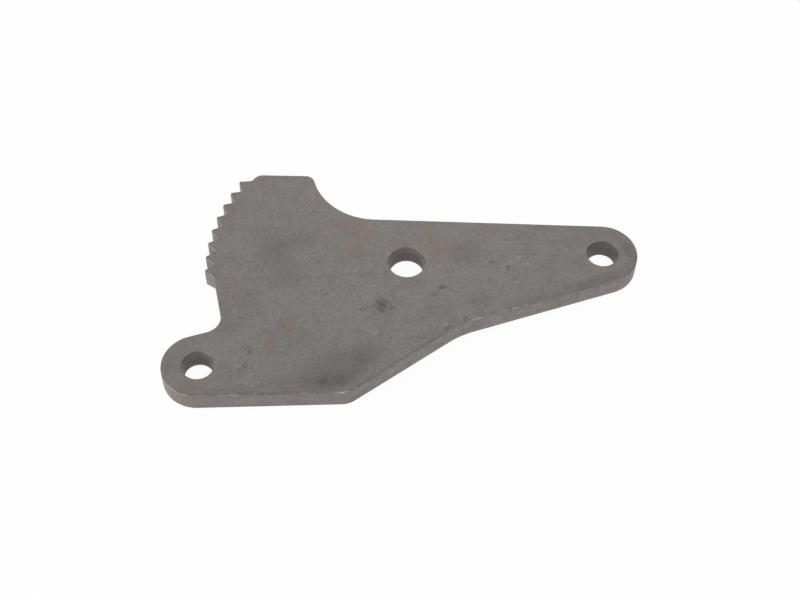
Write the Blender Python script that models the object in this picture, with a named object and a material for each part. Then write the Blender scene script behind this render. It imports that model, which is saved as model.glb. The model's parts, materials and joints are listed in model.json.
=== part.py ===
"""Toothed sector plate, blanked in one piece from steel plate.

The plate lies on its underside with +Z up. The origin is the middle of the
underside. +X runs along the line of the two ear holes, from the heel, where
the teeth are, to the end of the arm. All sizes are in metres and radians.
"""

import math

import bmesh
import bpy
from mathutils import Vector

# Plate and holes
PLATE_THICKNESS = 0.0060
EAR_SPACING = 0.1190            # from the heel ear's hole to the arm ear's hole
EAR_RADIUS = 0.0100             # both ears are round about their holes
EAR_HOLE_DIAMETER = 0.0080      # where the wall is smooth
PIVOT_HOLE_DIAMETER = 0.0096    # where the wall is smooth
PIVOT_ALONG = 0.0652            # pivot hole from the heel ear's hole, along X
PIVOT_RISE = 0.0150             # pivot hole above the line of the ear holes

# Straight edges, by their slope to the line of the ear holes
HEEL_UNDER_SLOPE = math.radians(17.1)
BELLY_SLOPE = math.radians(17.6)
HEEL_TOP_SLOPE = math.radians(1.2)
BACK_SLANT = math.radians(7.5)      # back edge from square, below the teeth
HEAD_SLOPE = math.radians(20.0)
BELLY_FROM_PIVOT = 0.0260
ARM_EDGE_FROM_PIVOT = 0.01525
HEAD_SHOULDER = 0.00225             # head's edge past the first root

# Corners and blends between the edges
BELLY_CORNER_RADIUS = 0.0066
BELLY_BLEND_RADIUS = 0.0245
NECK_RADIUS = 0.0189
NECK_FROM_PIVOT = 0.0098            # where the neck leaves the arm's edge
HEAD_CORNER_RADIUS = 0.0027
SHOULDER_RADIUS = 0.0029
HEEL_BLEND_RADIUS = 0.0050

# Teeth, on an arc about the pivot hole
TOOTH_COUNT = 8
TOOTH_TIP_CIRCLE_RADIUS = 0.0570
TOOTH_HEIGHT = 0.00275              # tip to the sharp root
TOOTH_STEP = math.radians(4.915)
FIRST_TOOTH_ANGLE = math.radians(50.0)   # above the heel's direction
TOOTH_TIP_LAND = 0.0006
TOOTH_TIP_RADIUS = 0.0005
TOOTH_ROOT_RADIUS = 0.0004
END_ROOT_RADIUS = 0.0011

# Sheared edge. The press rolls the blank's upper edge over, cuts a smooth
# band below it, and the rest breaks away with a slight inward slope.
ROLL_DEPTH = 0.00035
ROLL_INSET = 0.00025
SMOOTH_BAND_DEPTH = 0.0030
BREAK_INSET = 0.00010
DEBURR = 0.00010
ROLL_STEPS = 3

# The holes were punched from below, so their walls are sheared the other way
# up, and they widen towards the upper face.
HOLE_BREAKOUT = 0.00045
HOLE_SMOOTH_BAND = 0.0026

# Fineness of the round stretches
ARC_SAG = 0.000012              # furthest that a chord may lie inside its arc
FEWEST_ARC_STEPS = 3

STEEL_COLOUR = (0.185, 0.172, 0.158, 1.0)
STEEL_ROUGHNESS = 0.55
STEEL_METALLIC = 0.75


def clear_scene():
    for scene_object in list(bpy.data.objects):
        bpy.data.objects.remove(scene_object, do_unlink=True)


def direction(angle):
    return Vector((math.cos(angle), math.sin(angle)))


def left_of(vector):
    return Vector((-vector.y, vector.x))


class Edge:
    """A straight edge that runs anticlockwise, with the steel on its left."""

    def __init__(self, centre, distance, heading):
        self.heading = heading
        self.along = direction(heading)
        self.inward = left_of(self.along)
        self.foot = centre - self.inward * distance

    def crossing(self, other):
        turn = self.along.x * other.along.y - self.along.y * other.along.x
        gap = other.foot - self.foot
        reach = (gap.x * other.along.y - gap.y * other.along.x) / turn
        return self.foot + self.along * reach


def edge_past(start_centre, start_distance, end_centre, end_distance):
    """Edge that keeps each centre at its own distance."""
    span = end_centre - start_centre
    turn = math.asin((end_distance - start_distance) / span.length)
    heading = math.atan2(span.y, span.x) - turn
    return Edge(start_centre, start_distance, heading)


def edge_between(start, end):
    span = end - start
    return Edge(start, 0.0, math.atan2(span.y, span.x))


def arc_steps(radius, sweep):
    widest_step = 2.0 * math.acos(1.0 - min(1.0, ARC_SAG / radius))
    return max(FEWEST_ARC_STEPS, math.ceil(abs(sweep) / widest_step))


def arc(centre, radius, start, sweep):
    """Points on an arc, each with its outward normal.

    A positive sweep bulges out of the steel and a negative one into it.
    """
    steps = arc_steps(radius, sweep)
    side = 1.0 if sweep > 0.0 else -1.0
    points = []
    for step in range(steps + 1):
        spoke = direction(start + sweep * step / steps)
        points.append((centre + spoke * radius, spoke * side))
    return points


def turn_between(heading_in, heading_out):
    """Signed change of heading, from -180 to 180 degrees."""
    return (heading_out - heading_in + math.pi) % math.tau - math.pi


def rounded_corner(corner, heading_in, heading_out, radius):
    turn = turn_between(heading_in, heading_out)
    side = 1.0 if turn > 0.0 else -1.0
    setback = radius * math.tan(abs(turn) / 2.0)
    start = corner - direction(heading_in) * setback
    centre = start + left_of(direction(heading_in)) * radius * side
    return arc(centre, radius, heading_in - math.pi / 2.0 * side, turn)


def rounded_run(start, corners, end):
    """Rounds each (corner, radius) on the way from start to end.

    Where two neighbours need more than the edge between them has, both give
    way in proportion.
    """
    stops = [start] + [corner for corner, radius in corners] + [end]
    headings = []
    lengths = []
    for here, there in zip(stops, stops[1:]):
        span = there - here
        headings.append(math.atan2(span.y, span.x))
        lengths.append(span.length)
    setbacks = [0.0]
    for index, (corner, radius) in enumerate(corners):
        turn = turn_between(headings[index], headings[index + 1])
        setbacks.append(radius * math.tan(abs(turn) / 2.0))
    setbacks.append(0.0)
    room = []
    for index, length in enumerate(lengths):
        wanted = setbacks[index] + setbacks[index + 1]
        room.append(min(1.0, 0.98 * length / wanted) if wanted else 1.0)
    points = []
    for index, (corner, radius) in enumerate(corners):
        share = min(room[index], room[index + 1])
        points += rounded_corner(corner, headings[index], headings[index + 1], radius * share)
    return points


class Layout:
    """Centres and edges of the blank, with the heel ear's hole at zero."""

    def __init__(self):
        self.heel = Vector((0.0, 0.0))
        self.arm = Vector((EAR_SPACING, 0.0))
        self.pivot = Vector((PIVOT_ALONG, PIVOT_RISE))
        self.root_radius = TOOTH_TIP_CIRCLE_RADIUS - TOOTH_HEIGHT

        self.heel_under = Edge(self.heel, EAR_RADIUS, -HEEL_UNDER_SLOPE)
        self.belly = Edge(self.pivot, BELLY_FROM_PIVOT, BELLY_SLOPE)
        self.arm_under = Edge(self.arm, EAR_RADIUS, 0.0)
        self.arm_top = edge_past(self.arm, EAR_RADIUS, self.pivot, ARM_EDGE_FROM_PIVOT)
        self.back = Edge(self.pivot, self.root_radius, -math.pi / 2.0 - BACK_SLANT)
        self.heel_top = Edge(self.heel, EAR_RADIUS, math.pi - HEEL_TOP_SLOPE)

        head_heading = math.pi - HEAD_SLOPE
        head_outward = direction(head_heading - math.pi / 2.0)
        first_root = self.root(0)
        head_distance = (first_root - self.pivot).dot(head_outward) + HEAD_SHOULDER
        self.head = Edge(self.pivot, head_distance, head_heading)
        root_spoke = first_root - self.pivot
        rim_heading = math.atan2(root_spoke.y, root_spoke.x) + math.pi / 2.0
        self.rim = Edge(self.pivot, self.root_radius, rim_heading)

    def tooth_angle(self, index):
        return math.pi - FIRST_TOOTH_ANGLE + index * TOOTH_STEP

    def root(self, index):
        """Sharp root on the near side of a tooth, seen from the head."""
        angle = self.tooth_angle(index) - TOOTH_STEP / 2.0
        return self.pivot + direction(angle) * self.root_radius

    def tip_corners(self, index):
        spoke = direction(self.tooth_angle(index))
        tip = self.pivot + spoke * TOOTH_TIP_CIRCLE_RADIUS
        half_land = left_of(spoke) * TOOTH_TIP_LAND / 2.0
        return tip - half_land, tip + half_land


def ear(centre, edge_in, edge_out):
    sweep = (edge_out.heading - edge_in.heading) % math.tau
    return arc(centre, EAR_RADIUS, edge_in.heading - math.pi / 2.0, sweep)


def neck(layout):
    """Hollow from the arm's edge up to the head, and the head's corner."""
    arm_top = layout.arm_top
    along = (layout.pivot - arm_top.foot).dot(arm_top.along) + NECK_FROM_PIVOT
    leaves_arm = arm_top.foot + arm_top.along * along
    hollow_centre = leaves_arm - arm_top.inward * NECK_RADIUS

    head = layout.head
    corner_track = head.foot + head.inward * HEAD_CORNER_RADIUS
    reach = NECK_RADIUS + HEAD_CORNER_RADIUS
    to_track = (corner_track - hollow_centre).dot(head.inward)
    level = hollow_centre + head.inward * to_track
    corner_centre = level + head.along * math.sqrt(reach**2 - to_track**2)

    spoke = corner_centre - hollow_centre
    meeting = math.atan2(spoke.y, spoke.x)
    start = arm_top.heading + math.pi / 2.0
    hollow = arc(hollow_centre, NECK_RADIUS, start, turn_between(start, meeting))
    corner_start = meeting + math.pi
    corner_sweep = turn_between(corner_start, head.heading - math.pi / 2.0)
    corner = arc(corner_centre, HEAD_CORNER_RADIUS, corner_start, corner_sweep)
    return hollow + corner[1:]


def teeth(layout):
    """Corners of the toothed edge, from the head's far corner to the heel."""
    corners = [(layout.head.crossing(layout.rim), SHOULDER_RADIUS)]
    corners.append((layout.root(0), END_ROOT_RADIUS))
    for index in range(TOOTH_COUNT):
        if index:
            corners.append((layout.root(index), TOOTH_ROOT_RADIUS))
        for tip_corner in layout.tip_corners(index):
            corners.append((tip_corner, TOOTH_TIP_RADIUS))
    last_flank = edge_between(layout.tip_corners(TOOTH_COUNT - 1)[1], layout.root(TOOTH_COUNT))
    corners.append((last_flank.crossing(layout.back), END_ROOT_RADIUS))
    corners.append((layout.back.crossing(layout.heel_top), HEEL_BLEND_RADIUS))
    return corners


def blank_outline(layout):
    heel_ear = ear(layout.heel, layout.heel_top, layout.heel_under)
    arm_ear = ear(layout.arm, layout.arm_under, layout.arm_top)
    belly_corners = [
        (layout.heel_under.crossing(layout.belly), BELLY_CORNER_RADIUS),
        (layout.belly.crossing(layout.arm_under), BELLY_BLEND_RADIUS),
    ]
    belly_run = rounded_run(heel_ear[-1][0], belly_corners, arm_ear[0][0])
    neck_run = neck(layout)
    toothed_run = rounded_run(neck_run[-1][0], teeth(layout), heel_ear[0][0])
    return heel_ear + belly_run + arm_ear + neck_run + toothed_run


def hole_outline(centre, diameter):
    """A hole's wall, with normals that point out of the steel."""
    radius = diameter / 2.0
    sides = arc_steps(radius, math.tau)
    points = []
    for side in range(sides):
        spoke = direction(-math.tau * side / sides)
        points.append((centre + spoke * radius, -spoke))
    return points


def rolled_edge():
    """Rounded edge as (depth, inset) pairs, from the face to the wall."""
    steps = []
    for step in range(ROLL_STEPS + 1):
        angle = math.pi / 2.0 * step / ROLL_STEPS
        depth = ROLL_DEPTH * (1.0 - math.cos(angle))
        steps.append((depth, ROLL_INSET * (1.0 - math.sin(angle))))
    return steps


def blank_wall():
    """Section of the outer wall as (height, inset), from the top down."""
    section = [(PLATE_THICKNESS - depth, inset) for depth, inset in rolled_edge()]
    section.append((PLATE_THICKNESS - SMOOTH_BAND_DEPTH, 0.0))
    section.append((DEBURR, BREAK_INSET))
    section.append((0.0, BREAK_INSET + DEBURR))
    return section


def hole_wall():
    """Section of a hole's wall as (height, inset), from the top down."""
    section = [(PLATE_THICKNESS, HOLE_BREAKOUT + DEBURR)]
    section.append((PLATE_THICKNESS - DEBURR, HOLE_BREAKOUT))
    section.append((HOLE_SMOOTH_BAND, 0.0))
    section += reversed(rolled_edge())
    return section


def sheared_wall(mesh, outline, section):
    """Sweeps a wall section round an outline and returns its end loops."""
    rings = []
    for height, inset in section:
        ring = []
        for point, outward in outline:
            place = point - outward * inset
            ring.append(mesh.verts.new((place.x, place.y, height)))
        rings.append(ring)
    for upper, lower in zip(rings, rings[1:]):
        for index in range(len(upper)):
            before = index - 1
            mesh.faces.new((upper[before], lower[before], lower[index], upper[index]))
    return rings[0], rings[-1]


def ring_edges(mesh, ring):
    return [mesh.edges.get((ring[index - 1], ring[index])) for index in range(len(ring))]


def plate_mesh():
    layout = Layout()
    outline = blank_outline(layout)
    x_places = [point.x for point, outward in outline]
    y_places = [point.y for point, outward in outline]
    middle = Vector((min(x_places) + max(x_places), min(y_places) + max(y_places))) / 2.0
    holes = [
        hole_outline(layout.heel, EAR_HOLE_DIAMETER),
        hole_outline(layout.arm, EAR_HOLE_DIAMETER),
        hole_outline(layout.pivot, PIVOT_HOLE_DIAMETER),
    ]
    plate = bmesh.new()
    walls = [sheared_wall(plate, outline, blank_wall())]
    walls += [sheared_wall(plate, hole, hole_wall()) for hole in holes]
    for face_index in (0, 1):
        rims = []
        for wall in walls:
            rims += ring_edges(plate, wall[face_index])
        bmesh.ops.triangle_fill(plate, edges=rims, use_beauty=True)
    bmesh.ops.recalc_face_normals(plate, faces=plate.faces)
    bmesh.ops.translate(plate, verts=plate.verts, vec=(-middle.x, -middle.y, 0.0))
    mesh = bpy.data.meshes.new("sector_plate")
    plate.to_mesh(mesh)
    plate.free()
    return mesh


def steel():
    material = bpy.data.materials.new("pickled_steel")
    material.use_nodes = True
    shader = material.node_tree.nodes["Principled BSDF"]
    shader.inputs["Base Color"].default_value = STEEL_COLOUR
    shader.inputs["Roughness"].default_value = STEEL_ROUGHNESS
    shader.inputs["Metallic"].default_value = STEEL_METALLIC
    return material


def sector_plate():
    mesh = plate_mesh()
    mesh.materials.append(steel())
    mesh.shade_smooth()
    mesh.set_sharp_from_angle(angle=math.radians(30.0))
    plate = bpy.data.objects.new("sector_plate", mesh)
    bpy.context.scene.collection.objects.link(plate)
    return plate


clear_scene()
sector_plate()
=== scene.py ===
"""Toothed sector plate of pickled steel, on a white table in soft light."""

import json
import math

import bmesh
import bpy
from mathutils import Matrix, Vector, noise
from mathutils.bvhtree import BVHTree


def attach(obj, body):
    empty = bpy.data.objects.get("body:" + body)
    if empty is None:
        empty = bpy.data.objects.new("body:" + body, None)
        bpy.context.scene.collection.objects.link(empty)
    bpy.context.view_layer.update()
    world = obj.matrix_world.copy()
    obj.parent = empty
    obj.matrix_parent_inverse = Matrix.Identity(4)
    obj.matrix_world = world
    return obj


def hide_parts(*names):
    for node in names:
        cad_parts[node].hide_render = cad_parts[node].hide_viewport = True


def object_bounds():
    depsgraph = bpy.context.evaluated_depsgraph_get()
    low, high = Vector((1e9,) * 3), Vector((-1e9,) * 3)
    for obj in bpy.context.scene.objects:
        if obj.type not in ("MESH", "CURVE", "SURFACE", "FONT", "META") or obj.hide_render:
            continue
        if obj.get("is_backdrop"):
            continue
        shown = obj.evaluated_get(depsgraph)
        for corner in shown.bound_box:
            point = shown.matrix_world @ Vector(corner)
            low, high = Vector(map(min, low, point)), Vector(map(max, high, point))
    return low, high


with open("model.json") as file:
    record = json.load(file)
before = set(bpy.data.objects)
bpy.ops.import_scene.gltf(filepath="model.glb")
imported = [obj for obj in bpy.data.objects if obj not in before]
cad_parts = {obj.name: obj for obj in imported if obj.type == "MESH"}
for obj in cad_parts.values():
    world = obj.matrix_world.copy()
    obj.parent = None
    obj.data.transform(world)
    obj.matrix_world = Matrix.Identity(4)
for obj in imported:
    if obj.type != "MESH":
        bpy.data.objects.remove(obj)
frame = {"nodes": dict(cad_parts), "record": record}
cad_low, cad_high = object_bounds()


# Sector plate
# One blank of 6 mm hot-rolled steel, punched out in a press with its teeth and
# three holes. The press dished the faces a little towards the cut edges, and
# handling has left small dents.
MM = 0.001
FACE_HEIGHT = cad_high.z
ON_FACE = 0.01 * MM             # a point this near to a face's plane lies on it
CUT_SPACING = 1.0 * MM
CUT_TOUCH = 0.05 * MM           # a cut goes through a corner this near to it
MERGE_WITHIN = 0.001 * MM
FINE_FACE = 0.25 * MM           # side of the mesh's faces under small marks
FLAT_FROM = 0.999               # a flat face's normal is at least so upright
WALL_BELOW = 0.5                # and a cut wall's is less upright than this
ONE_PLANE = math.radians(0.5)   # the bend between faces that are taken for one
ONE_CURVE = math.radians(34.0)  # and between faces that are shaded as a curve
HOLE_REACH = 6.5 * MM           # what is nearer than this to a hole's axis is the hole's
DISH_DEPTH = 0.05 * MM
DISH_REACH = 1.3 * MM
WAVE_DEPTH = 0.012 * MM
WAVE_LENGTH = 14.0 * MM
TOOTHED_LEFT_OF = -20.0 * MM    # the toothed stretch is left of here
TOOTHED_BEHIND = 10.0 * MM      # and behind here
TIP_CIRCLE = 57.0 * MM
ROOT_CIRCLE = 54.25 * MM
TIP_ROLL_FROM = 56.0 * MM       # out from the pivot hole
TIP_ROLL_DEPTH = 0.06 * MM      # the press draws the teeth's tips down further

# Dents as x, y, width and depth in millimetres, on the upper face and its rim.
DENTS = (
    (-6.4, -15.2, 1.1, 0.05),
    (-5.2, -16.9, 1.3, 0.06),
    (-3.1, -17.1, 0.8, 0.05),
    (32.3, -15.0, 0.9, 0.09),
    (28.6, -11.7, 0.8, 0.07),
    (29.9, -11.9, 0.6, 0.05),
    (-48.3, -23.7, 1.2, 0.05),
    (-8.7, -2.3, 0.7, 0.06),
    (11.9, -15.3, 1.0, 0.04),
    (-39.4, 9.2, 0.9, 0.05),
    (-20.1, 27.6, 0.8, 0.05),
    (36.5, -13.1, 0.9, 0.04),
)

solid = frame["nodes"]["sector_plate"]
plate = bpy.data.objects.new("steel_plate", solid.data.copy())
bpy.context.scene.collection.objects.link(plate)


def select_faces(piece, wanted):
    """Selects in edit mode only the faces that wanted(face) picks."""
    bpy.ops.mesh.select_all(action="DESELECT")
    mesh = bmesh.from_edit_mesh(piece.data)
    for face in mesh.faces:
        if wanted(face):
            face.select_set(True)
    bmesh.update_edit_mesh(piece.data)


def cut_across(axis, low, high):
    """Cuts the mesh in edit mode by even planes that are square to an axis."""
    normal = [0.0, 0.0, 0.0]
    normal[axis] = 1.0
    count = round((high - low) / CUT_SPACING)
    for index in range(1, count):
        place = [0.0, 0.0, 0.0]
        place[axis] = low + (high - low) * index / count
        bpy.ops.mesh.select_all(action="SELECT")
        bpy.ops.mesh.bisect(plane_co=place, plane_no=normal, threshold=CUT_TOUCH)


def is_flat(face):
    return abs(face.normal.z) > FLAT_FROM


def refine_at(piece, x, y, reach):
    """Splits the larger faces in edit mode round a place on the upper face."""
    middle = Vector((x * MM, y * MM, FACE_HEIGHT))

    def near(face):
        close = (face.calc_center_median() - middle).length < reach * MM
        return close and face.calc_area() > FINE_FACE**2

    select_faces(piece, near)
    bpy.ops.mesh.subdivide(number_cuts=1)


# The node's mesh is loose triangles that keep normals of their own. Those are
# cleared, or the small forms wouldn't show in the shading. The mesh is then
# merged, and cut about a millimetre apart, so that it can take those forms.
bpy.ops.object.select_all(action="DESELECT")
plate.select_set(True)
bpy.context.view_layer.objects.active = plate
bpy.ops.mesh.customdata_custom_splitnormals_clear()
bpy.ops.object.mode_set(mode="EDIT")
bpy.ops.mesh.select_mode(type="FACE")
bpy.ops.mesh.select_all(action="SELECT")
bpy.ops.mesh.remove_doubles(threshold=MERGE_WITHIN)
bpy.ops.mesh.dissolve_limited(angle_limit=ONE_PLANE)
for axis in range(3):
    cut_across(axis, cad_low[axis], cad_high[axis])
select_faces(plate, is_flat)
bpy.ops.mesh.subdivide(number_cuts=1)
for x, y, width, depth in DENTS:
    refine_at(plate, x, y, width)
bpy.ops.object.mode_set(mode="OBJECT")
mesh = plate.data

corners = [vertex.co for vertex in mesh.vertices]
walls = [list(face.vertices) for face in mesh.polygons if abs(face.normal.z) < WALL_BELOW]
wall_tree = BVHTree.FromPolygons(corners, walls)

# The record states the three holes as openings, the pivot's first.
hole_centres = []
for opening in frame["record"]["physics"]["openings"]:
    low, high = opening["box_m"]
    hole_centres.append(Vector(((low[0] + high[0]) / 2.0, (low[1] + high[1]) / 2.0)))
pivot = hole_centres[0]


def rim_of(point):
    """Distance to the nearest cut edge, how far it faces back, whether it is a hole's."""
    rim, normal = wall_tree.find_nearest(point)[:2]
    gap = (Vector(rim.xy) - Vector(point.xy)).length
    at_hole = any((Vector(rim.xy) - centre).length < HOLE_REACH for centre in hole_centres)
    return gap, normal.y, at_hole


def bowl(distance, radius):
    """1 in the middle, falling smoothly to 0 at the radius."""
    return (1.0 + math.cos(math.pi * min(1.0, abs(distance) / radius))) / 2.0


def from_pivot_at_teeth(point):
    """Distance out from the pivot hole in the toothed stretch, 0 elsewhere."""
    if point.x > TOOTHED_LEFT_OF or point.y < TOOTHED_BEHIND:
        return 0.0
    return (Vector(point.xy) - pivot).length


# The steel's finish reads three values at each point: millimetres to the nearest
# cut edge, how far that edge faces back, and how much shade is painted on a wall.
for name in ("rim_distance", "rim_facing", "film"):
    mesh.attributes.new(name, "FLOAT", "POINT")
rim_distance = mesh.attributes["rim_distance"].data
rim_facing = mesh.attributes["rim_facing"].data
film = mesh.attributes["film"].data
for vertex in mesh.vertices:
    upper = vertex.co.z > FACE_HEIGHT - ON_FACE
    lower = vertex.co.z < ON_FACE
    gap, facing, at_hole = rim_of(vertex.co)
    rim_facing[vertex.index].value = 0.0 if at_hole else facing
    # Painted shade on the holes' walls.
    film[vertex.index].value = 1.0 if at_hole and gap < ON_FACE else 0.0
    if not (upper or lower):
        continue
    rim_distance[vertex.index].value = gap / MM
    drop = WAVE_DEPTH * (noise.noise(vertex.co / WAVE_LENGTH) + 1.0) / 2.0
    # The outline was punched from above, and the holes from below.
    if at_hole != upper:
        drop += DISH_DEPTH * math.exp(-gap / DISH_REACH)
    if upper:
        short_of_tips = TIP_CIRCLE - from_pivot_at_teeth(vertex.co)
        drop += TIP_ROLL_DEPTH * bowl(short_of_tips, TIP_CIRCLE - TIP_ROLL_FROM)
    for x, y, width, depth in DENTS:
        reach = (vertex.co - Vector((x * MM, y * MM, FACE_HEIGHT))).length
        drop += depth * MM * bowl(reach, width / 2.0 * MM)
    vertex.co.z += -drop if upper else drop

bpy.ops.object.shade_smooth_by_angle(angle=ONE_CURVE, keep_sharp_edges=False)
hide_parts("sector_plate")
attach(plate, "root")

# What storage and handling have left on the plate, with painted shade and painted
# highlights along its front rims: soft oval marks as x, y, length and width in
# millimetres, turn in degrees, and strength.
RUST_MARKS = (
    (-3.0, 9.6, 12, 14, 0, 0.65),
    (-7.4, 14.8, 15, 8, -20, 0.55),
    (-6.8, 3.8, 10, 8, 0, 0.6),
    (16.0, -3.6, 13, 10, 0, 0.7),
    (15.0, 1.6, 14, 9, 0, 0.45),
    (14.3, -9.6, 8, 3, -20, 0.35),
    (5.5, 2.0, 16, 4, -20, 0.5),
    (34.0, -1.2, 14, 6, -18, 0.55),
    (-33.5, -14.9, 8, 10, 0, 0.8),
    (-34.2, -14.2, 4, 7, 20, 0.3),
    (-39.0, -18.9, 9, 8, 0, 0.75),
    (-29.6, -17.8, 4, 8, 0, 0.35),
    (-11.2, 24.3, 7, 5, 0, 0.45),
    (-23.5, 34.2, 5, 5, 0, 0.35),
    (-34.9, 30.0, 4, 4, 0, 0.4),
    (-38.6, 27.6, 4, 4, 0, 0.8),
    (-42.3, 21.6, 4, 5, 0, 0.7),
    (-45.0, 4.0, 5, 16, 5, 0.4),
    (60.4, -28.7, 4.2, 2.6, 0, 1.3),
    (57.6, -27.8, 5, 1.8, 0, 0.9),
    (56.0, -25.0, 9, 3, -10, 0.35),
    (66.0, -14.0, 4, 8, 0, 0.35),
    (-63.9, -14.0, 9, 6, 0, 0.4),
    (-63.0, -25.5, 12, 6, 0, 0.5),
    (-62.0, -29.5, 14, 6, -20, 0.7),
    (-50.5, -33.0, 5, 5, 0, 0.7),
)
# Oil smears, and painted shade: the long thin smears along the front rims paint the shade just
# inside them.
OIL_SMEARS = (
    (-5.8, -16.2, 8.0, 7.4, -60, 1.1),
    (-4.6, -14.7, 6.2, 2.0, -56, 1.5),
    (-5.9, -15.6, 7.0, 2.0, -56, 1.4),
    (-6.6, -17.3, 5.6, 1.8, -56, 1.4),
    (-3.4, -17.7, 2.2, 2.0, 0, 1.6),
    (-11.1, -15.7, 4.4, 2.6, 0, 0.8),
    (-9.0, -15.6, 6.0, 1.6, -3, 0.5),
    (12.0, -15.6, 4.4, 2.8, 10, 1.8),
    (9.2, -17.1, 4.2, 2.0, 5, 1.4),
    (14.3, -17.2, 5.6, 1.5, -51, 1.0),
    (16.4, -18.7, 3.4, 1.4, -30, 0.4),
    (0.5, -23.7, 1.9, 1.9, 0, 0.8),
    (2.7, -24.3, 1.8, 2.2, 0, 0.6),
    (-4.1, -25.5, 2.2, 1.7, 0, 0.6),
    (-11.0, -25.4, 3.6, 1.3, -13, 0.5),
    (8.9, -29.0, 4.0, 1.8, 10, 1.7),
    (10.8, -27.4, 5.0, 2.2, 20, 0.6),
    (14.8, -27.8, 2.8, 2.6, 0, 1.5),
    (18.8, -22.9, 2.0, 2.0, 0, 0.8),
    (22.4, -20.1, 1.9, 2.1, 0, 0.8),
    (24.9, -23.8, 2.6, 1.9, 0, 0.6),
    (22.0, -25.5, 2.4, 2.2, 0, 0.6),
    (28.4, -20.8, 5.6, 1.2, 50, 0.7),
    (35.3, -5.6, 6.4, 1.1, -28, 0.8),
    (28.6, -11.8, 2.2, 1.7, 0, 1.8),
    (29.8, -12.1, 1.6, 1.4, 0, 1.3),
    (32.3, -14.9, 2.0, 1.8, 0, 2.2),
    (-44.9, -19.1, 2.4, 5.0, 0, 1.4),
    (-47.2, -23.0, 2.6, 4.2, -20, 1.4),
    (-49.4, -24.2, 3.0, 2.0, 30, 1.2),
    (-8.2, -9.0, 1.4, 3.0, 40, 0.5),
    (-26.0, -31.5, 26, 18, 10, 1.0),
    (-25.0, -36.0, 20, 10, -5, 1.1),
    (-35.0, -33.6, 26, 9, -16, 0.6),
    (-47.5, -9.5, 12, 10, 0, 0.6),
    (-16.0, -31.0, 22, 14, 25, 0.9),
    (3.0, -30.0, 18, 7, 15, 0.6),
    (37.0, -27.6, 46, 4.4, 0, 0.5),
    (55.0, -27.0, 28, 4.4, 0, 0.8),
    (-27.5, 1.5, 18, 16, 0, 0.7),
    (-41.0, -1.5, 12, 18, 0, 0.5),
    (-29.0, 12.5, 16, 26, 0, 0.7),
    (-20.0, 12.5, 18, 10, 0, 0.6),
    (23.0, -6.5, 16, 14, 0, 0.7),
    (5.0, -11.5, 14, 6, 0, 0.6),
    (8.0, -22.5, 18, 10, 0, 0.45),
    (21.0, -23.0, 12, 9, 0, 0.5),
    (67.0, -20.0, 5, 12, 0, 0.8),
    (-51.0, -30.4, 26, 3, -17, 0.5),
)
# Painted highlights, where the front rims catch the light.
RUBBED_RIMS = (
    (-25.0, -40.0, 6.4, 3, -16, 1.0),
    (-52.9, -31.5, 8.0, 3, -17, 0.35),
    (-44.0, -34.0, 54, 6, -17, 0.25),
    (-63.8, -27.8, 9, 4, -32, 0.35),
    (-67.9, -24.2, 11, 6, -54, 0.25),
    (3.6, -32.1, 2.0, 1.8, 15, 0.8),
    (9.2, -30.4, 2.6, 1.8, 15, 0.6),
    (16.5, -29.2, 15, 4, 0, 0.5),
    (28.0, -29.2, 30, 4, 0, 0.55),
    (60.3, -28.9, 4.4, 3, 0, 0.6),
)
SCUFFS = (
    (36.5, -12.6, 3.4, 1.3, 23, 0.8),
    (37.5, -15.5, 4.6, 1.1, -28, 0.55),
    (35.3, -6.5, 5.6, 1.1, -28, 0.35),
    (8.5, -27.9, 3.2, 1.2, 10, 0.5),
    (-10.5, -24.4, 1.8, 1.5, 0, 0.5),
    (-25.5, 20.7, 1.3, 2.6, 0, 0.5),
    (-9.1, -2.3, 2.6, 1.1, -20, 0.9),
)
SMALL_MARK = 3.0                # a mark no wider than this needs a finer mesh
MARKS_ABOVE = 0.1 * MM          # the underside has none
DOWN_WALLS = 2.0                # a mark reaches this much further down a wall

bpy.ops.object.mode_set(mode="EDIT")
for x, y, length, width, turn, weight in RUST_MARKS + OIL_SMEARS + RUBBED_RIMS + SCUFFS:
    if width <= SMALL_MARK:
        refine_at(plate, x, y, length / 2.0)
bpy.ops.object.mode_set(mode="OBJECT")


def marks_at(point, marks):
    """Strength of a set of soft oval marks at a point, less down the walls."""
    strength = 0.0
    for x, y, length, width, turn, weight in marks:
        offset = Vector((point.x / MM - x, point.y / MM - y))
        too_far = offset.length * 2.0 > max(length, width)
        if too_far:
            continue
        offset.rotate(Matrix.Rotation(math.radians(-turn), 2))
        below = (FACE_HEIGHT - point.z) / MM
        away = Vector((offset.x / length, offset.y / width, below / length / DOWN_WALLS)).length
        strength += weight * bowl(away * 2.0, 1.0)
    return strength


mark_sets = {"rust": RUST_MARKS, "oil": OIL_SMEARS, "rubbed": RUBBED_RIMS, "scuffed": SCUFFS}
for name, marks in mark_sets.items():
    strength = mesh.attributes.new(name, "FLOAT", "POINT").data
    for vertex in mesh.vertices:
        if vertex.co.z > MARKS_ABOVE:
            strength[vertex.index].value = marks_at(vertex.co, marks)


def linear(hex_colour):
    """Linear colour of an sRGB hex value."""
    channels = [int(hex_colour[i:i + 2], 16) / 255.0 for i in (1, 3, 5)]
    return [c / 12.92 if c <= 0.04045 else ((c + 0.055) / 1.055) ** 2.4 for c in channels] + [1.0]


def add_node(tree, kind, settings, links, output=0):
    """Adds a node and gives one of its outputs.

    Settings name its attributes or its sockets, and links name sockets.
    """
    node = tree.nodes.new(kind)
    for name, value in settings.items():
        if hasattr(node, str(name)):
            setattr(node, name, value)
        else:
            node.inputs[name].default_value = value
    for name, source in links.items():
        tree.links.new(source, node.inputs[name])
    return node.outputs[output]


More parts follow.
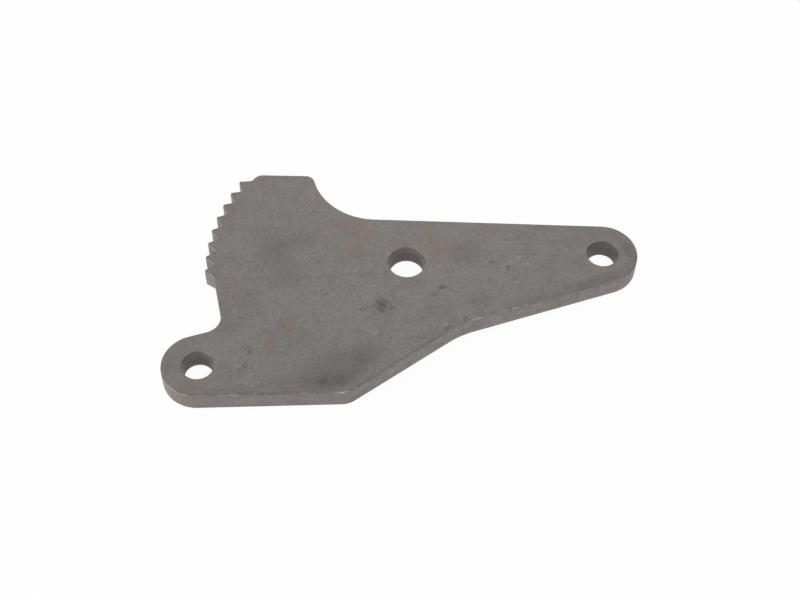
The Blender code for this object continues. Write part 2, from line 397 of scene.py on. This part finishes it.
def etched(tree, patterns):
    """Noise patterns by name, and the tone that they add up to.

    A pattern is its name, its size in mm, how far it is drawn out along X, Y
    and Z, its turn in degrees, its detail, the stretch of the noise that shows,
    and what that adds to the tone at its two ends.
    """
    place = add_node(tree, "ShaderNodeTexCoord", {}, {}, "Object")
    found = {}
    tone = None
    for name, size, drawn, turn, detail, shows, adds in patterns:
        turned = (0.0, 0.0, math.radians(turn))
        spread = {"vector_type": "TEXTURE", "Rotation": turned, "Scale": drawn}
        spot = add_node(tree, "ShaderNodeMapping", spread, {"Vector": place})
        grains = {"Scale": 1.0 / (size * MM), "Detail": detail, "Roughness": 0.6}
        found[name] = add_node(tree, "ShaderNodeTexNoise", grains, {"Vector": spot})
        band = {
            "From Min": shows[0],
            "From Max": shows[1],
            "To Min": adds[0],
            "To Max": adds[1],
        }
        share = add_node(tree, "ShaderNodeMapRange", band, {"Value": found[name]})
        if tone is None:
            tone = share
        else:
            tone = add_node(tree, "ShaderNodeMath", {"operation": "ADD"}, {0: tone, 1: share})
    return found, tone


def coated(tree, colour, coats):
    """Lays thin coats over a colour, each as thick as its masks multiply to.

    A mask is a pattern or the name of an attribute, the stretch of it that
    counts, and the thickness at the two ends of that stretch.
    """
    for coat_colour, masks in coats:
        thickness = None
        for source, counts, gives in masks:
            if isinstance(source, str):
                named = {"attribute_name": source}
                source = add_node(tree, "ShaderNodeAttribute", named, {}, "Fac")
            band = {
                "From Min": counts[0],
                "From Max": counts[1],
                "To Min": gives[0],
                "To Max": gives[1],
            }
            share = add_node(tree, "ShaderNodeMapRange", band, {"Value": source})
            if thickness is None:
                thickness = share
            else:
                product = {"operation": "MULTIPLY"}
                thickness = add_node(tree, "ShaderNodeMath", product, {0: thickness, 1: share})
        coat = {"data_type": "RGBA", 7: linear(coat_colour)}
        colour = add_node(tree, "ShaderNodeMix", coat, {0: thickness, 6: colour}, 2)
    return colour


# The faces are hot-rolled low-carbon steel, pickled and oiled. Acid has taken
# the scale off and left a dull, mottled grey, which dried oil gives a brown
# cast. Oil gathered in darker smears, and rust has begun to bloom. Along the
# rims, shade and highlights are painted.
# Acid's pits and the hairlines are finer than 0.1 mm on the real plate. They
# are drawn at 0.3 to 0.7 mm, as coarse as they need to be to show.
EVEN = (1.0, 1.0, 1.0)
FULL = (0.0, 1.0)
MIDDLE = (0.3, 0.7)             # most of a noise lies in this stretch
METALLIC_SHARE = 0.85           # the rest is oil and oxide, which are no metal
PIT_DEPTH = 0.05 * MM
DULL_STEEL = "#6f6b69"
BRIGHT_STEEL = "#8d8985"
RUST_COLOUR = "#86695a"
OIL_COLOUR = "#474543"
GRIME_COLOUR = "#504d4a"
WORN_COLOUR = "#d2cbc3"

face_steel = bpy.data.materials.new("pickled_hot_rolled_steel")
face_steel.use_nodes = True
tree = face_steel.node_tree
shader = tree.nodes["Principled BSDF"]
shader.inputs["Metallic"].default_value = METALLIC_SHARE
patterns, tone = etched(tree, (
    ("clouds", 11.0, EVEN, 0.0, 3.0, MIDDLE, (-0.1, 0.1)),
    ("mottle", 2.4, EVEN, 0.0, 6.0, MIDDLE, (0.12, 0.88)),
    ("grain", 0.7, EVEN, 0.0, 3.0, MIDDLE, (-0.22, 0.22)),
    ("rolled", 0.4, (6.0, 1.0, 1.0), 24.0, 2.0, MIDDLE, (-0.15, 0.15)),
    ("handled", 0.4, (6.0, 1.0, 1.0), 131.0, 2.0, MIDDLE, (-0.15, 0.15)),
    ("hairlines", 0.3, (22.0, 1.0, 1.0), 14.0, 2.0, (0.64, 0.74), (0.0, 0.4)),
    ("scratches", 0.3, (22.0, 1.0, 1.0), 48.0, 2.0, (0.64, 0.74), (0.0, 0.4)),
    ("scrapes", 0.3, (22.0, 1.0, 1.0), 77.0, 2.0, (0.64, 0.74), (0.0, 0.4)),
    ("breaks", 3.0, EVEN, 0.0, 4.0, MIDDLE, (0.0, 0.0)),
))
mottle = patterns["mottle"]
breaks = patterns["breaks"]
speckle = add_node(tree, "ShaderNodeMath", {"operation": "ADD"}, {0: mottle, 1: patterns["grain"]})
steel_tones = {"data_type": "RGBA", 6: linear(DULL_STEEL), 7: linear(BRIGHT_STEEL)}
colour = add_node(tree, "ShaderNodeMix", steel_tones, {0: tone}, 2)
colour = coated(tree, colour, (
    # Rust shows most on the lighter specks.
    (RUST_COLOUR, (("rust", FULL, FULL), (speckle, (0.8, 1.2), (0.1, 0.75)))),
    (OIL_COLOUR, (("oil", (0.0, 2.0), (0.0, 2.0)), (mottle, (0.35, 0.65), (0.2, 0.4)))),
    # Painted shade darkens the rims at the back, and lies as a broken line just inside the front
    # ones.
    (GRIME_COLOUR, (("rim_distance", (0.0, 0.4), (0.4, 0.0)), ("rim_facing", (0.0, 0.5), FULL))),
    (GRIME_COLOUR, (
        ("rim_distance", (0.5, 1.2), (0.3, 0.0)),
        ("rim_facing", (-0.6, -0.1), (1.0, 0.0)),
        (breaks, (0.4, 0.6), (1.0, 0.2)),
    )),
    # A painted highlight lies along short stretches of the front rims, and handling has scuffed
    # the face.
    (WORN_COLOUR, (
        ("rubbed", FULL, FULL),
        ("rim_distance", (0.1, 0.4), (1.0, 0.0)),
        (breaks, (0.42, 0.6), (0.0, 1.0)),
    )),
    (WORN_COLOUR, (("scuffed", FULL, (0.0, 0.25)),)),
))
tree.links.new(colour, shader.inputs["Base Color"])
gloss = {"From Min": MIDDLE[0], "From Max": MIDDLE[1], "To Min": 0.48, "To Max": 0.62}
dullness = add_node(tree, "ShaderNodeMapRange", gloss, {"Value": mottle})
tree.links.new(dullness, shader.inputs["Roughness"])
relief = {"Strength": 0.15, "Distance": PIT_DEPTH}
pits = add_node(tree, "ShaderNodeBump", relief, {"Height": patterns["grain"]})
tree.links.new(pits, shader.inputs["Normal"])

# The cut edges are sheared steel: burnished by the die above, which leaves
# upright lines, and torn and duller below, with level ones. The walls of the
# holes and the teeth carry painted shade.
EDGE_BELOW = 0.3                # an edge's normal is less upright than this
FILM_AT_TEETH = 0.35
FILM_FROM = ROOT_CIRCLE - 1.0 * MM
CLEAN_BELOW = 14.5 * MM         # the last tooth's outer flank has no painted shade
DULL_EDGE = "#757270"
BRIGHT_EDGE = "#969290"

# Edit mode has remade the mesh's data, so the attribute is looked up again.
film = mesh.attributes["film"].data
# Painted shade on the teeth's walls, all but the last tooth's outer flank.
for vertex in mesh.vertices:
    if from_pivot_at_teeth(vertex.co) > FILM_FROM and vertex.co.y > CLEAN_BELOW:
        film[vertex.index].value = FILM_AT_TEETH

wall_steel = bpy.data.materials.new("sheared_steel")
wall_steel.use_nodes = True
tree = wall_steel.node_tree
shader = tree.nodes["Principled BSDF"]
shader.inputs["Metallic"].default_value = METALLIC_SHARE
patterns, tone = etched(tree, (
    ("patches", 2.5, EVEN, 0.0, 5.0, MIDDLE, (0.2, 0.75)),
    ("grain", 0.5, EVEN, 0.0, 2.0, MIDDLE, (-0.3, 0.3)),
    ("draw_lines", 0.3, (1.0, 1.0, 16.0), 0.0, 2.0, MIDDLE, (-0.1, 0.1)),
    ("tear_lines", 0.5, (7.0, 7.0, 1.0), 0.0, 2.0, MIDDLE, (-0.05, 0.15)),
    ("blooms", 7.0, EVEN, 0.0, 3.0, MIDDLE, (0.0, 0.0)),
))
patches = patterns["patches"]
place = add_node(tree, "ShaderNodeTexCoord", {}, {}, "Object")
along = add_node(tree, "ShaderNodeSeparateXYZ", {}, {"Vector": place}, "X")
across = add_node(tree, "ShaderNodeSeparateXYZ", {}, {"Vector": place}, "Y")
height = add_node(tree, "ShaderNodeSeparateXYZ", {}, {"Vector": place}, "Z")
wall_tones = {"data_type": "RGBA", 6: linear(DULL_EDGE), 7: linear(BRIGHT_EDGE)}
colour = add_node(tree, "ShaderNodeMix", wall_tones, {0: tone}, 2)
colour = coated(tree, colour, (
    # Rust blooms on the near walls and below the marks, and warms the heel's wall.
    (RUST_COLOUR, (
        (patterns["blooms"], (0.54, 0.68), (0.0, 0.25)),
        (across, (6.0 * MM, 10.0 * MM), (1.0, 0.0)),
    )),
    (RUST_COLOUR, (("rust", FULL, FULL), (patches, (0.35, 0.65), (0.1, 0.5)))),
    (RUST_COLOUR, (
        (along, (-30.0 * MM, -10.0 * MM), (0.15, 0.0)),
        (across, (6.0 * MM, 10.0 * MM), (1.0, 0.0)),
        (patches, MIDDLE, (0.5, 1.0)),
    )),
    # Painted shade along the walls' foot, where they meet the table, strongest towards the heel,
    # and a little on the walls' upper part.
    (GRIME_COLOUR, (
        (height, (0.0, 0.7 * MM), (0.7, 0.0)),
        (along, (-45.0 * MM, 20.0 * MM), (1.0, 0.0)),
        (patches, MIDDLE, (0.5, 1.0)),
    )),
    (GRIME_COLOUR, (
        (height, (2.0 * MM, 4.0 * MM), (0.0, 0.18)),
        (patches, MIDDLE, (1.0, 0.5)),
    )),
    # The torn foot of the arm's wall has been rubbed lighter.
    (WORN_COLOUR, (
        (height, (1.0 * MM, 3.0 * MM), (0.12, 0.0)),
        (along, (-20.0 * MM, 10.0 * MM), FULL),
        (patterns["tear_lines"], (0.4, 0.6), (0.3, 1.0)),
    )),
    # Painted shade, deepest low down in the holes and on the teeth's walls.
    (GRIME_COLOUR, (("film", FULL, FULL), (height, (3.0 * MM, 5.8 * MM), (0.6, 0.15)))),
))
tree.links.new(colour, shader.inputs["Base Color"])
gloss = {"From Min": 2.0 * MM, "From Max": 3.6 * MM, "To Min": 0.6, "To Max": 0.45}
dullness = add_node(tree, "ShaderNodeMapRange", gloss, {"Value": height})
tree.links.new(dullness, shader.inputs["Roughness"])
lines = {0: patterns["draw_lines"], 1: patterns["grain"]}
ridges = add_node(tree, "ShaderNodeMath", {"operation": "ADD"}, lines)
relief = {"Strength": 0.3, "Distance": PIT_DEPTH}
torn = add_node(tree, "ShaderNodeBump", relief, {"Height": ridges})
tree.links.new(torn, shader.inputs["Normal"])

mesh.materials.clear()
mesh.materials.append(face_steel)
mesh.materials.append(wall_steel)
for face in mesh.polygons:
    face.material_index = 1 if abs(face.normal.z) < EDGE_BELOW else 0


# Table
# A white laminate table top, wide enough to fill the view and to light the
# plate's edges from below.
TABLE_SIZE = 4000.0 * MM
TABLE_TOP = -0.02 * MM          # just clear of the plate's underside
WHITE_SHARE = 0.95              # the rest takes the plate's shadow

bpy.ops.object.select_all(action="DESELECT")
bpy.ops.mesh.primitive_plane_add(size=TABLE_SIZE, location=(0.0, 0.0, TABLE_TOP))
table = bpy.context.object
table.name = "table"
table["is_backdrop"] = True
laminate = bpy.data.materials.new("white_laminate")
laminate.use_nodes = True
tree = laminate.node_tree
shader = tree.nodes["Principled BSDF"]
shader.inputs["Base Color"].default_value = linear("#fafafa")
shader.inputs["Roughness"].default_value = 0.9

# To the camera, to gloss and through clear things it is white by itself.
lift = None
for ray in ("Is Camera Ray", "Is Glossy Ray", "Is Transmission Ray"):
    seen = add_node(tree, "ShaderNodeLightPath", {}, {}, ray)
    share = add_node(tree, "ShaderNodeMath", {"operation": "MULTIPLY", 1: WHITE_SHARE}, {0: seen})
    if lift is None:
        lift = share
    else:
        lift = add_node(tree, "ShaderNodeMath", {"operation": "ADD"}, {0: lift, 1: share})
white = add_node(tree, "ShaderNodeEmission", {"Color": linear("#ffffff"), "Strength": 1.0}, {})
top = add_node(tree, "ShaderNodeMixShader", {}, {0: lift, 1: shader.outputs[0], 2: white})
tree.links.new(top, tree.nodes["Material Output"].inputs["Surface"])
table.data.materials.append(laminate)


# Light
# A white room, with two softboxes: a weak one high up behind the plate, and a
# low one at its left that lights the teeth and the heel's end.
ROOM_STRENGTH = 0.65

scene = bpy.context.scene
scene.view_settings.view_transform = "Standard"
world = bpy.data.worlds.new("studio")
scene.world = world
world.use_nodes = True
room = world.node_tree.nodes["Background"]
room.inputs["Color"].default_value = linear("#ffffff")
room.inputs["Strength"].default_value = ROOM_STRENGTH


def direction(azimuth, elevation):
    """Towards a place round the plate: azimuth 0 is in front, 90 to the right."""
    turn, rise = math.radians(azimuth), math.radians(elevation)
    return Vector((
        math.sin(turn) * math.cos(rise),
        -math.cos(turn) * math.cos(rise),
        math.sin(rise),
    ))


def softbox(name, azimuth, elevation, distance, size, watts):
    """Hangs a square lamp that points at the plate."""
    lamp = bpy.data.objects.new(name, bpy.data.lights.new(name, "AREA"))
    scene.collection.objects.link(lamp)
    away = direction(azimuth, elevation)
    lamp.location = away * distance
    lamp.rotation_euler = away.to_track_quat("Z", "Y").to_euler()
    lamp.data.shape = "SQUARE"
    lamp.data.size = size
    lamp.data.energy = watts


softbox("back_softbox", azimuth=159.0, elevation=55.0, distance=0.6, size=0.4, watts=0.58)
softbox("left_softbox", azimuth=-80.0, elevation=9.0, distance=0.8, size=0.4, watts=4.3)


# Camera
# It looks down on the plate from the belly's side, a little from the left, with
# a long lens.
CAMERA_AIM = Vector((-0.46 * MM, -15.99 * MM, FACE_HEIGHT))
CAMERA_AZIMUTH = -19.97
CAMERA_ELEVATION = 53.84
CAMERA_ROLL = 1.00
CAMERA_DISTANCE = 460.99 * MM
CAMERA_LENS_MM = 74.48
SENSOR_WIDTH_MM = 36.0

camera = bpy.data.objects.new("camera", bpy.data.cameras.new("camera"))
scene.collection.objects.link(camera)
back = direction(CAMERA_AZIMUTH, CAMERA_ELEVATION)
camera.location = CAMERA_AIM + back * CAMERA_DISTANCE
roll = Matrix.Rotation(math.radians(CAMERA_ROLL), 3, "Z")
camera.rotation_euler = (back.to_track_quat("Z", "Y").to_matrix() @ roll).to_euler()
camera.data.sensor_width = SENSOR_WIDTH_MM
camera.data.lens = CAMERA_LENS_MM
scene.camera = camera

low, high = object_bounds()
